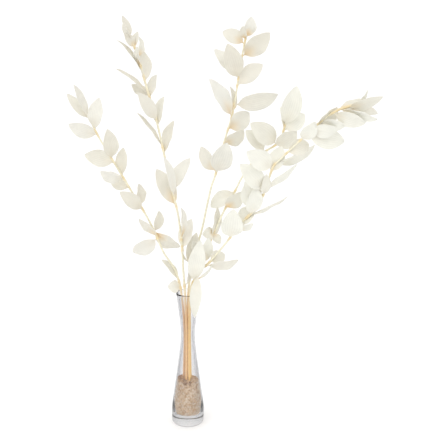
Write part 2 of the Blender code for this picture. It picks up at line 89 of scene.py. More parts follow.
PLANS = {
    "branch_far_left": StemPlan(
        Tone.BLUSH,
        warmth=0.1,
        route=(
            (-6.2, 2.6, 30),
            (-6.0, 2.0, 64),
            (-4.9, 0.8, 137),
            (-9.6, 2.5, 200),
            (-19, 7, 232),
            (-34, 11, 255),
            (-43, 14, 276),
            (-57, 18, 305),
            (-83, 25, 348),
            (-110, 34, 392),
            (-125, 41, 416),
            (-139, 47, 443),
        ),
        leaves=(
            Leaf(441, -18, -8, 48, 15, 55, -1),
            Leaf(439, -32, 10, 35, 16, 30, -3),
            Leaf(424, 6, 6, 45, 22, -18, 4),
            Leaf(418, -39, -12, 17, 22, -8, 3),
            Leaf(386, -4, -12, 44, 22, 18, 5),
            Leaf(380, -43, 10, 10, 24, 8, -3),
            Leaf(362, 1, 14, 38, 20, -30, 3),
            Leaf(359, -32, -10, 12, 21, -25, 4),
            Leaf(346, -29, 12, 11, 20, 30, -4),
            Leaf(316, -31, -10, 28, 20, 15, 5),
            Leaf(321, -2, 12, 30, 17, 45, 3),
            Leaf(277, -25, -12, 29, 19, -42, -3, 0.5),
            Leaf(285, 7, 10, 28, 17, 38, 3),
            Leaf(276, -36, 12, -26, 26, -20, 4),
            Leaf(286, 36, 12, -27, 26, 32, 4, 0.8),
            Leaf(216, -24, 8, 29, 15, 62, 3),
            Leaf(206, -18, -6, 4, 18, 30, 2),
        ),
    ),
    "branch_left": StemPlan(
        Tone.BLUSH,
        warmth=0.35,
        route=(
            (-2.4, -4.8, 30),
            (-2.2, -4.2, 64),
            (-2.0, -2.8, 137),
            (-4.2, -3.4, 200),
            (-6.5, -3, 234),
            (-7.8, -4, 264),
            (-10, -6, 286),
            (-14, -10, 319),
            (-24, -15, 363),
            (-31, -20, 399),
            (-43, -27, 457),
            (-51, -31, 484),
            (-64, -37, 532),
            (-73, -40, 559),
        ),
        leaves=(
            Leaf(557, -11, 4, 27, 12, 45, 0),
            Leaf(554, -10, -6, 22, 11, -50, 2),
            Leaf(545, -12, -5, 16, 14, 40, 2, 0.6),
            Leaf(544, 4, 6, 20, 12, -38, 2, 0.8),
            Leaf(531, 2, 8, 27, 12, 55, 3, 0.7),
            Leaf(509, -31, -8, 46, 12, 76, 3),
            Leaf(521, -4, -9, 25, 12, -45, 3, 0.7),
            Leaf(499, -5, 10, 42, 17, 30, 4),
            Leaf(486, -40, -10, 33, 13, 76, 1),
            Leaf(479, 8, 10, 30, 15, -38, 3),
            Leaf(482, -23, 8, 14, 16, 38, -3),
            Leaf(449, -23, -10, 38, 19, 28, 5),
            Leaf(440, 7, 10, 40, 17, -42, 4),
            Leaf(412, -33, -8, 48, 13, 76, 3),
            Leaf(402, 12, 12, 45, 17, -42, 4),
            Leaf(350, 24, 12, 44, 21, -34, 4),
            Leaf(343, -12, -16, 58, 15, 45, 5),
            Leaf(328, -27, 10, 51, 24, 25, 5, 0.6),
            Leaf(280, 1, -10, 48, 16, 62, 3, 0.8),
            Leaf(265, 13, 10, 41, 22, -30, 4),
            Leaf(269, 11, 0, -24, 12, 72, 3),
            Leaf(211, 5, -9, 23, 12, 62, 3),
        ),
    ),
    "branch_middle": StemPlan(
        Tone.IVORY,
        warmth=0.6,
        route=(
            (-1.6, 4.4, 30),
            (-1.5, 4.0, 64),
            (-1.2, 2.8, 137),
            (0.8, 6.2, 200),
            (5, 8, 227),
            (14, 12, 268),
            (20.5, 17, 291),
            (31.8, 27, 343),
            (39.2, 32, 365),
            (53, 44, 415),
            (61, 50, 441),
            (67, 58, 471),
            (70, 63, 490),
            (75, 70, 520),
            (81, 77, 550),
        ),
        leaves=(
            Leaf(549, 8, 4, 29, 19, 22, 3, 0.9),
            Leaf(547, -4, -8, 19, 13, -42, 2, 0.9),
            Leaf(541, -31, 8, 17, 21, 20, 4, 0.6),
            Leaf(524, 38, -8, 33, 27, 8, 3, 0.6),
            Leaf(497, -34, 12, 36, 23, 35, 4),
            Leaf(493, -16, -12, 50, 27, 8, 4),
            Leaf(484, 36, 10, 30, 24, -22, 3),
            Leaf(442, -32, -12, 54, 24, 36, 6, 0.5),
            Leaf(447, -2, 12, 37, 15, 55, 3, 1.0),
            Leaf(458, 61, -10, 15, 28, 20, 3),
            Leaf(425, 30, 12, 22, 28, 12, 4, 0.6),
            Leaf(406, 28, -4, 19, 25, 30, 3, 0.5),
            Leaf(366, 15, -12, 45, 30, 6, 5),
            Leaf(367, -21, 12, 34, 22, -26, 4, 0.4),
            Leaf(262, -6, -14, 14, 15, 20, 3, 0.6),
            Leaf(232, 6, 7, 52, 20, -20, 4, 0.5),
        ),
    ),
    "branch_right": StemPlan(
        Tone.CHALK,
        warmth=0.95,
        route=(
            (4.2, 3.0, 30),
            (4.0, 2.6, 64),
            (2.9, 1.6, 137),
            (4.2, 1.8, 200),
            (17, 5, 233),
            (32, 10, 274),
            (53, 17, 320),
            (66, 20, 343),
            (75, 22, 361),
            (90, 25, 383),
            (107, 28, 397),
            (119, 30, 404),
            (128, 31, 412),
            (134, 34, 431),
            (136, 35, 441),
        ),
        leaves=(
            Leaf(432, 14, -8, 56, 29, 10, 5),
            Leaf(425, 30, 10, 22, 26, -18, 3),
            Leaf(427, -5, 10, 30, 14, 55, 3, 0.5),
            Leaf(407, -38, -10, 31, 29, 16, 4),
            Leaf(405, 30, -8, 21, 26, 15, 3),
            Leaf(397, -27, 4, 29, 23, 28, 3),
            Leaf(343, -34, 10, -26, 22, 30, 5),
            Leaf(319, 21, -10, 26, 24, 20, 3, 0.9),
            Leaf(275, 8, 10, 45, 18, 50, 4),
            Leaf(284, -16, -10, 1, 18, 20, 3, 0.7),
            Leaf(241, 9, -16, 43, 20, 22, 4, 0.4),
            Leaf(284, 9, -8, -13, 12, -10, 2, 0.5),
        ),
    ),
    "branch_far_right": StemPlan(
        Tone.CHALK,
        warmth=0.8,
        route=(
            (2.2, -5.6, 52),
            (2.1, -5.0, 70),
            (1.6, -2.6, 137),
            (2.8, -4.6, 200),
            (9, -7, 221),
            (17, -9, 236),
            (27, -11, 245),
            (40, -15, 262),
            (54, -19, 281),
            (71, -25, 307),
            (93, -31, 333),
            (103, -35, 357),
            (112, -40, 389),
            (121, -42, 400),
            (146, -46, 426),
            (172, -50, 452),
            (191, -53, 466),
            (206, -55, 472),
            (220, -56, 477),
        ),
        leaves=(
            Leaf(476, 13, 4, 17, 8, 50, 1.5),
            Leaf(471, 44, -6, 14, 18, 30, 3, 0.3),
            Leaf(470, 46, 8, -8, 17, -42, 3, 0.4),
            Leaf(468, 47, -8, -12, 19, 40, 3, 0.4),
            Leaf(466, 40, 10, 12, 14, -48, 3, 0.4),
            Leaf(463, 41, -10, -12, 21, 22, 4, 0.2),
            Leaf(445, 30, 8, 23, 25, 35, 3),
            Leaf(439, 34, -10, 5, 21, 20, 4),
            Leaf(434, 51, 6, -10, 27, -12, 5),
            Leaf(427, 17, -10, 25, 22, 18, 4),
            Leaf(409, 30, 10, 10, 22, -20, 4),
            Leaf(393, 54, 8, 24, 19, 38, 4),
            Leaf(387, -35, -10, 25, 27, 12, 4),
            Leaf(358, -35, -8, 36, 26, 20, 4),
            Leaf(350, -25, 6, 17, 23, -24, 4),
            Leaf(357, 41, -8, 36, 19, 48, -2),
            Leaf(317, 57, 8, 26, 21, 66, -1),
            Leaf(301, 22, -6, 8, 17, 42, 2, 0.5),
            Leaf(286, 4, -12, 44, 30, 0, 5),
            Leaf(303, 24, 8, 28, 22, -34, 4),
            Leaf(321, 7, -12, 42, 23, 18, 4),
            Leaf(244, 44, -8, 10, 21, 35, 4),
            Leaf(249, 21, 8, 9, 20, -28, 4),
            Leaf(217, 10, -6, 64, 24, 5, 5),
            Leaf(232, -5, -14, -61, 16, 0, 9),
            Leaf(381, 15, 8, 34, 22, -15, 4),
            Leaf(451, 32, -8, -3, 17, 18, 4),
            Leaf(331, -16, 8, 29, 23, -18, 4),
            Leaf(297, 9, 10, 21, 14, -30, 3),
            Leaf(219, 26, -10, 27, 11, 55, 2, 0.8),
            Leaf(350, 3, -6, 30, 14, 20, 3),
        ),
    ),
}


def linear(code: str) -> tuple[float, float, float, float]:
    """Turns an sRGB hex colour into the linear one that a shader takes.

    Args:
        code: Six hex digits, such as "F2EBDB".

    Returns:
        Red, green, blue and an alpha of one.
    """
    shades = [int(code[start : start + 2], 16) / 255 for start in (0, 2, 4)]
    levels = [((s + 0.055) / 1.055) ** 2.4 if s > 0.04045 else s / 12.92 for s in shades]
    return (levels[0], levels[1], levels[2], 1.0)


def add_node(
    tree: bpy.types.NodeTree,
    kind: str,
    settings: dict[str, Any] | None = None,
    sockets: dict[str | int, Any] | None = None,
) -> bpy.types.Node:
    """Adds a node, sets it up and links what feeds it.

    Args:
        tree: The node tree that takes the node.
        kind: The node's type name.
        settings: The node's own properties, by name.
        sockets: For each input, by name or place, a plain value or the output that feeds it.

    Returns:
        The new node.
    """
    node = tree.nodes.new(kind)
    for name, value in (settings or {}).items():
        setattr(node, name, value)
    for name, value in (sockets or {}).items():
        if isinstance(value, bpy.types.NodeSocket):
            tree.links.new(value, node.inputs[name])
        else:
            node.inputs[name].default_value = value
    return node


def set_ramp(node: bpy.types.Node, stops: Sequence[tuple[float, str]]) -> None:
    """Gives a colour ramp its stops.

    Args:
        node: The ColorRamp node.
        stops: Places from 0 to 1 and sRGB hex colours, lowest first.
    """
    ramp = node.color_ramp
    while len(ramp.elements) < len(stops):
        ramp.elements.new(0.5)
    for element, (place, code) in zip(ramp.elements, stops):
        element.position = place
        element.color = linear(code)


def start_material(name: str) -> tuple[bpy.types.Material, bpy.types.NodeTree, bpy.types.Node]:
    """Starts a material that holds its output node alone.

    Args:
        name: The material's name.

    Returns:
        The material, its node tree and its output node.
    """
    material = bpy.data.materials.new(name)
    material.use_nodes = True
    tree = material.node_tree
    tree.nodes.clear()
    return material, tree, tree.nodes.new("ShaderNodeOutputMaterial")


@dataclass(frozen=True)
class BleachedLeaf:
    """Ruscus leaf, bleached and steeped in glycerine: matt, chalky and a little translucent.

    The veins run side by side from stalk to tip, and what the bleach left is tan at the stalk.
    """

    grey_ivory: str = "EEEDE5"
    ivory: str = "F5F3EA"
    blush: str = "EDE9DC"
    chalk: str = "F8F7ED"
    tan: str = "F0CF94"
    veins: float = 9.0
    vein_shade: float = 0.95
    mottle_scale: float = 90.0
    mottle_shades: tuple[float, float] = (0.96, 1.02)
    stain_reach: float = 0.42
    middle_lead: float = 0.35
    vein_relief: float = 0.12 * MM
    roughness: float = 0.58
    bleed: float = 0.12

    def material(self) -> bpy.types.Material:
        """Builds the leaf's material from its UV map and its tint and stain attributes.

        Returns:
            The material.
        """
        material, tree, output = start_material("bleached_ruscus_leaf")
        place = add_node(tree, "ShaderNodeUVMap", {"uv_map": "leaf"})
        parts = add_node(tree, "ShaderNodeSeparateXYZ", None, {0: place.outputs[0]})
        tint = add_node(tree, "ShaderNodeAttribute", {"attribute_name": "tint"})
        stain = add_node(tree, "ShaderNodeAttribute", {"attribute_name": "stain"})
        shade = add_node(tree, "ShaderNodeValToRGB", None, {0: tint.outputs["Fac"]})
        scale = ((0.2, self.grey_ivory), (0.45, self.ivory), (0.65, self.blush), (0.9, self.chalk))
        set_ramp(shade, scale)

        # Veins: fine bands across the blade, which crowd together at both its ends.
        bands = add_node(
            tree,
            "ShaderNodeMath",
            {"operation": "MULTIPLY"},
            {0: parts.outputs[0], 1: math.tau * self.veins},
        )
        wave = add_node(tree, "ShaderNodeMath", {"operation": "SINE"}, {0: bands.outputs[0]})
        veined = add_node(
            tree,
            "ShaderNodeMapRange",
            None,
            {0: wave.outputs[0], 1: -1.0, 2: 1.0, 3: self.vein_shade, 4: 1.0},
        )

        # Mottle: faint blotches, 11 mm across.
        where = add_node(tree, "ShaderNodeTexCoord")
        mottle = add_node(
            tree,
            "ShaderNodeTexNoise",
            None,
            {"Vector": where.outputs["Object"], "Scale": self.mottle_scale, "Detail": 4.0},
        )
        dark, light = self.mottle_shades
        mottled = add_node(
            tree,
            "ShaderNodeMapRange",
            None,
            {0: mottle.outputs["Fac"], 1: 0.3, 2: 0.7, 3: dark, 4: light},
        )
        depth = add_node(
            tree, "ShaderNodeMath", {"operation": "MULTIPLY"}, {0: veined.outputs[0], 1: mottled.outputs[0]}
        )
        body = add_node(
            tree,
            "ShaderNodeVectorMath",
            {"operation": "SCALE"},
            {0: shade.outputs[0], "Scale": depth.outputs[0]},
        )

        # The stain fades out from the stalk, and further along the middle than at the edges.
        middle = add_node(
            tree, "ShaderNodeMath", {"operation": "PINGPONG"}, {0: parts.outputs[0], 1: 0.5}
        )
        lag = add_node(
            tree, "ShaderNodeMath", {"operation": "MULTIPLY"}, {0: middle.outputs[0], 1: -self.middle_lead}
        )
        reach = add_node(
            tree, "ShaderNodeMath", {"operation": "ADD"}, {0: parts.outputs[1], 1: lag.outputs[0]}
        )
        fade = add_node(
            tree,
            "ShaderNodeMapRange",
            {"interpolation_type": "SMOOTHSTEP"},
            {0: reach.outputs[0], 1: self.stain_reach, 2: -0.12, 3: 0.0, 4: 1.0},
        )
        amount = add_node(
            tree, "ShaderNodeMath", {"operation": "MULTIPLY"}, {0: fade.outputs[0], 1: stain.outputs["Fac"]}
        )
        colour = add_node(
            tree,
            "ShaderNodeMix",
            {"data_type": "RGBA"},
            {"Factor": amount.outputs[0], 6: body.outputs[0], 7: linear(self.tan)},
        )

        relief = add_node(
            tree,
            "ShaderNodeBump",
            None,
            {"Strength": 0.35, "Distance": self.vein_relief, "Height": wave.outputs[0]},
        )
        shader = add_node(
            tree,
            "ShaderNodeBsdfPrincipled",
            None,
            {
                "Base Color": colour.outputs[2],
                "Roughness": self.roughness,
                "IOR": 1.42,
                "Normal": relief.outputs[0],
            },
        )
        glow = add_node(
            tree,
            "ShaderNodeBsdfTranslucent",
            None,
            {"Color": colour.outputs[2], "Normal": relief.outputs[0]},
        )
        both = add_node(
            tree, "ShaderNodeMixShader", None, {0: self.bleed, 1: shader.outputs[0], 2: glow.outputs[0]}
        )
        tree.links.new(both.outputs[0], output.inputs["Surface"])
        return material


@dataclass(frozen=True)
class BleachedTwig:
    """Bleached ruscus twig: straw above the glass, from brown to amber in it, and tan at the nodes."""

    straw: str = "EFEAD2"
    brown_foot: str = "DFB48A"
    amber_foot: str = "F2CA80"
    node: str = "E6CC94"
    foot_height: float = 160 * MM
    straw_height: float = 225 * MM
    grain_scale: float = 260.0
    grain_shades: tuple[float, float] = (0.86, 1.04)
    grain_relief: float = 0.1 * MM
    roughness: float = 0.5

    def material(self) -> bpy.types.Material:
        """Builds the twig's material from the height on the stem and its node and warmth attributes.

        Returns:
            The material.
        """
        material, tree, output = start_material("bleached_ruscus_twig")
        place = add_node(tree, "ShaderNodeTexCoord")
        parts = add_node(tree, "ShaderNodeSeparateXYZ", None, {0: place.outputs["Object"]})
        node = add_node(tree, "ShaderNodeAttribute", {"attribute_name": "node"})
        warmth = add_node(tree, "ShaderNodeAttribute", {"attribute_name": "warmth"})
        foot = add_node(
            tree,
            "ShaderNodeMix",
            {"data_type": "RGBA"},
            {"Factor": warmth.outputs["Fac"], 6: linear(self.brown_foot), 7: linear(self.amber_foot)},
        )
        height = add_node(
            tree,
            "ShaderNodeMapRange",
            {"interpolation_type": "SMOOTHSTEP"},
            {0: parts.outputs[2], 1: self.foot_height, 2: self.straw_height, 3: 0.0, 4: 1.0},
        )
        length = add_node(
            tree,
            "ShaderNodeMix",
            {"data_type": "RGBA"},
            {"Factor": height.outputs[0], 6: foot.outputs[2], 7: linear(self.straw)},
        )
        grain = add_node(
            tree,
            "ShaderNodeTexNoise",
            None,
            {"Vector": place.outputs["Object"], "Scale": self.grain_scale, "Detail": 3.0},
        )
        dark, light = self.grain_shades
        streak = add_node(
            tree, "ShaderNodeMapRange", None, {0: grain.outputs["Fac"], 1: 0.3, 2: 0.7, 3: dark, 4: light}
        )
        body = add_node(
            tree,
            "ShaderNodeVectorMath",
            {"operation": "SCALE"},
            {0: length.outputs[2], "Scale": streak.outputs[0]},
        )
        colour = add_node(
            tree,
            "ShaderNodeMix",
            {"data_type": "RGBA"},
            {"Factor": node.outputs["Fac"], 6: body.outputs[0], 7: linear(self.node)},
        )
        relief = add_node(
            tree,
            "ShaderNodeBump",
            None,
            {"Strength": 0.3, "Distance": self.grain_relief, "Height": grain.outputs["Fac"]},
        )
        shader = add_node(
            tree,
            "ShaderNodeBsdfPrincipled",
            None,
            {"Base Color": colour.outputs[2], "Roughness": self.roughness, "Normal": relief.outputs[0]},
        )
        tree.links.new(shader.outputs[0], output.inputs["Surface"])
        return material


@dataclass(frozen=True)
class ClearGlass:
    """Soda-lime glass, blown into a mould and fire-polished: clear face on, with grey painted shade at its
    edges.
    """

    painted_edge_shade: tuple[tuple[float, str], ...] = (
        (0.0, "FBFBFB"),
        (0.1, "F3F3F4"),
        (0.35, "D8D8DA"),
        (0.8, "96979A"),
    )
    depth_tint: str = "919193"
    density: float = 8.0
    index: float = 1.5

    def material(self) -> bpy.types.Material:
        """Builds the glass, which lets the lamps light what is inside it.

        Returns:
            The material.
        """
        material, tree, output = start_material("clear_soda_lime_glass")
        # Painted shade: the glass's colour turns grey where its surface is seen edge-on, in place of the
        # dark surroundings that its edges would reflect.
        facing = add_node(tree, "ShaderNodeLayerWeight", None, {"Blend": 0.5})
        body = add_node(tree, "ShaderNodeValToRGB", None, {0: facing.outputs["Facing"]})
        set_ramp(body, self.painted_edge_shade)
        shader = add_node(
            tree,
            "ShaderNodeBsdfPrincipled",
            None,
            {
                "Base Color": body.outputs[0],
                "Roughness": 0.0,
                "IOR": self.index,
                "Transmission Weight": 1.0,
            },
        )
        ray = add_node(tree, "ShaderNodeLightPath")
        lit = add_node(
            tree,
            "ShaderNodeMath",
            {"operation": "MAXIMUM"},
            {0: ray.outputs["Is Shadow Ray"], 1: ray.outputs["Is Diffuse Ray"]},
        )
        clear = add_node(tree, "ShaderNodeBsdfTransparent")
        both = add_node(
            tree,
            "ShaderNodeMixShader",
            None,
            {0: lit.outputs[0], 1: shader.outputs[0], 2: clear.outputs[0]},
        )
        depth = add_node(
            tree,
            "ShaderNodeVolumeAbsorption",
            None,
            {"Color": linear(self.depth_tint), "Density": self.density},
        )
        tree.links.new(both.outputs[0], output.inputs["Surface"])
        tree.links.new(depth.outputs[0], output.inputs["Volume"])
        return material


# Grain tones from cream to brown; the umber stop at the bottom is reached only by the grains in the front
# gap places, as painted shadow.
GRAIN_TONES_AND_GAP_SHADOW = (
    (0.0, "4E331E"),
    (0.1, "94653C"),
    (0.25, "B98D60"),
    (0.5, "CBB08C"),
    (0.8, "DAC9B2"),
    (1.0, "E8E0D6"),
)
# The core's darker tans are painted shade, seen between the grains.
CORE_PAINTED_SHADE = ((0.0, "87664A"), (0.4, "B39478"), (0.8, "CDB396"))


@dataclass(frozen=True)
class TanGranule:
    """Crushed and tumbled stone granules, 2 mm across: matt, from cream through tan to umber; the umber,
    and the darker tan of the core, are painted shade.
    """

    name: str
    shades: tuple[tuple[float, str], ...]
    attribute: str | None = None
    grain_size: float = 2 * MM
    grit_relief: float = 0.2 * MM

    def material(self) -> bpy.types.Material:
        """Builds the granules' material, with a shade for each grain.

        Returns:
            The material.
        """
        material, tree, output = start_material(self.name)
        place = add_node(tree, "ShaderNodeTexCoord")
        if self.attribute:
            shade = add_node(tree, "ShaderNodeAttribute", {"attribute_name": self.attribute}).outputs["Fac"]
        else:
            cells = add_node(
                tree,
                "ShaderNodeTexVoronoi",
                None,
                {"Vector": place.outputs["Object"], "Scale": 1 / self.grain_size},
            )
            shade = add_node(tree, "ShaderNodeSeparateXYZ", None, {0: cells.outputs["Color"]}).outputs[0]
        colour = add_node(tree, "ShaderNodeValToRGB", None, {0: shade})
        set_ramp(colour, self.shades)
        grit = add_node(
            tree,
            "ShaderNodeTexNoise",
            None,
            {"Vector": place.outputs["Object"], "Scale": 2 / self.grain_size, "Detail": 3.0},
        )
        relief = add_node(
            tree,
            "ShaderNodeBump",
            None,
            {"Strength": 0.5, "Distance": self.grit_relief, "Height": grit.outputs["Fac"]},
        )
        shader = add_node(
            tree,
            "ShaderNodeBsdfPrincipled",
            None,
            {"Base Color": colour.outputs[0], "Roughness": 0.85, "Normal": relief.outputs[0]},
        )
        tree.links.new(shader.outputs[0], output.inputs["Surface"])
        return material


@dataclass(frozen=True)
class StudioPaper:
    """The pale paper that the vase stands on."""

    colour: str = "FAFAFA"

    def material(self) -> bpy.types.Material:
        """Builds the paper's plain matt material.

        Returns:
            The material.
        """
        material, tree, output = start_material("studio_paper")
        shader = add_node(
            tree, "ShaderNodeBsdfPrincipled", None, {"Base Color": linear(self.colour), "Roughness": 0.9}
        )
        tree.links.new(shader.outputs[0], output.inputs["Surface"])
        return material


def make_piece(
    name: str, bm: bmesh.types.BMesh, materials: Iterable[bpy.types.Material]
) -> bpy.types.Object:
    """Makes an object at the origin from a bmesh, smooth but for its sharp edges.

    Args:
        name: The piece's name.
        bm: What it is made from, which is freed.
        materials: Its finishes, in the order of its faces' material numbers.

    Returns:
        The new object.
    """
    mesh = bpy.data.meshes.new(name)
    bm.to_mesh(mesh)
    bm.free()
    mesh.shade_smooth()
    mesh.set_sharp_from_angle(angle=math.radians(SHARP_ANGLE))
    for material in materials:
        mesh.materials.append(material)
    piece = bpy.data.objects.new(name, mesh)
    bpy.context.scene.collection.objects.link(piece)
    return piece


def on_curve(knots: Sequence[Vector], steps: int) -> list[Vector]:
    """Points on the Catmull-Rom curve through some knots.

    Args:
        knots: The points that the curve passes.
        steps: How many points each span gets.

    Returns:
        The points, with both ends.
    """
    ends = [knots[0] * 2 - knots[1], *knots, knots[-1] * 2 - knots[-2]]
    points = []
    for before, start, end, after in zip(ends, ends[1:], ends[2:], ends[3:]):
        slope = (end - before) / 2
        next_slope = (after - start) / 2
        rise = end - start
        for step in range(steps):
            share = step / steps
            bend = rise * 3 - slope * 2 - next_slope
            turn = slope + next_slope - rise * 2
            points.append(start + slope * share + bend * share**2 + turn * share**3)
    points.append(knots[-1])
    return points


def eased_share(value: float, start: float, end: float) -> float:
    """How far a value has come from start to end, from 0 to 1, eased at both ends."""
    share = min(max((value - start) / (end - start), 0), 1)
    return share * share * (3 - 2 * share)


@dataclass
class GlassVase:
    """The waisted bud vase: a wall that flares both ways from its waist, on a thick solid foot."""

    glass: bpy.types.Material
    height: float = 200 * MM
    waist_height: float = 137 * MM
    waist_radius: float = 10 * MM
    waist_rounding: float = 15 * MM
    flare: float = 0.135
    heel_radius: float = 23.4 * MM
    wall: float = 1.3 * MM
    neck_wall: float = 2.3 * MM
    neck_swell: tuple[float, float] = (70 * MM, 130 * MM)
    base_wall: float = 3.4 * MM
    base_swell: tuple[float, float] = (38 * MM, 14 * MM)
    floor: float = 16 * MM
    foot_rounding: float = 4 * MM
    floor_rounding: float = 3 * MM
    sides: int = 96
    wall_steps: int = 48
    arc_steps: int = 8

    def radius(self, height: float) -> float:
        """The outer radius of the wall at a height, above the rounded foot."""
        away = math.hypot(height - self.waist_height, self.waist_rounding) - self.waist_rounding
        return min(self.waist_radius + self.flare * away, self.heel_radius)

    def inner_radius(self, height: float) -> float:
        """The inner radius of the wall at a height, above the rounded floor."""
        neck = (self.neck_wall - self.wall) * eased_share(height, *self.neck_swell)
        base = (self.base_wall - self.wall) * eased_share(height, *self.base_swell)
        return self.radius(height) - self.wall - neck - base

    def arc(
        self, centre: tuple[float, float], radius: float, start: float, end: float
    ) -> list[tuple[float, float]]:
        """Points along an arc of the outline.

        Args:
            centre: The arc's centre, as its distance from the axis and its height.
            radius: The arc's radius.
            start: Where the arc starts, in degrees.
            end: Where it ends, in degrees.

        Returns:
            The points, with both ends, as distances from the axis and heights.
        """
        points = []
        for step in range(self.arc_steps + 1):
            angle = math.radians(start + (end - start) * step / self.arc_steps)
            points.append((centre[0] + radius * math.cos(angle), centre[1] + radius * math.sin(angle)))
        return points

    def outline(self) -> list[tuple[float, float]]:
        """The vase's outline: from the foot's centre up the outside, over the rim and down the inside.

        Returns:
            The points, as distances from the axis and heights.
        """
        rim = self.neck_wall / 2
        inside_foot = self.floor + self.floor_rounding
        foot_edge = self.radius(self.foot_rounding) - self.foot_rounding
        points = [(0.0, 0.0)]
        points += self.arc((foot_edge, self.foot_rounding), self.foot_rounding, -90, 0)
        low, high = self.foot_rounding, self.height - rim
        for step in range(1, self.wall_steps):
            height = low + (high - low) * step / self.wall_steps
            points.append((self.radius(height), height))
        points += self.arc((self.radius(self.height) - rim, self.height - rim), rim, 0, 180)
        for step in range(1, self.wall_steps):
            height = high + (inside_foot - high) * step / self.wall_steps
            points.append((self.inner_radius(height), height))
        corner = (self.inner_radius(inside_foot) - self.floor_rounding, inside_foot)
        points += self.arc(corner, self.floor_rounding, 0, -90)
        points.append((0, self.floor))
        return points

    def build(self) -> bpy.types.Object:
        """Spins the outline once round and puts the glass in the CAD vase's place.

        Returns:
            The glass, as one piece.
        """
        bm = bmesh.new()
        corners = [bm.verts.new((away, 0, height)) for away, height in self.outline()]
        edges = [bm.edges.new(pair) for pair in zip(corners, corners[1:])]
        bmesh.ops.spin(
            bm,
            geom=corners + edges,
            cent=(0, 0, 0),
            axis=(0, 0, 1),
            angle=math.tau,
            steps=self.sides,
            use_merge=True,
        )
        bmesh.ops.remove_doubles(bm, verts=bm.verts, dist=0.005 * MM)
        bmesh.ops.recalc_face_normals(bm, faces=bm.faces)
        piece = make_piece("glass_vase", bm, [self.glass])
        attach(piece, "root")
        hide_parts("vase")
        return piece


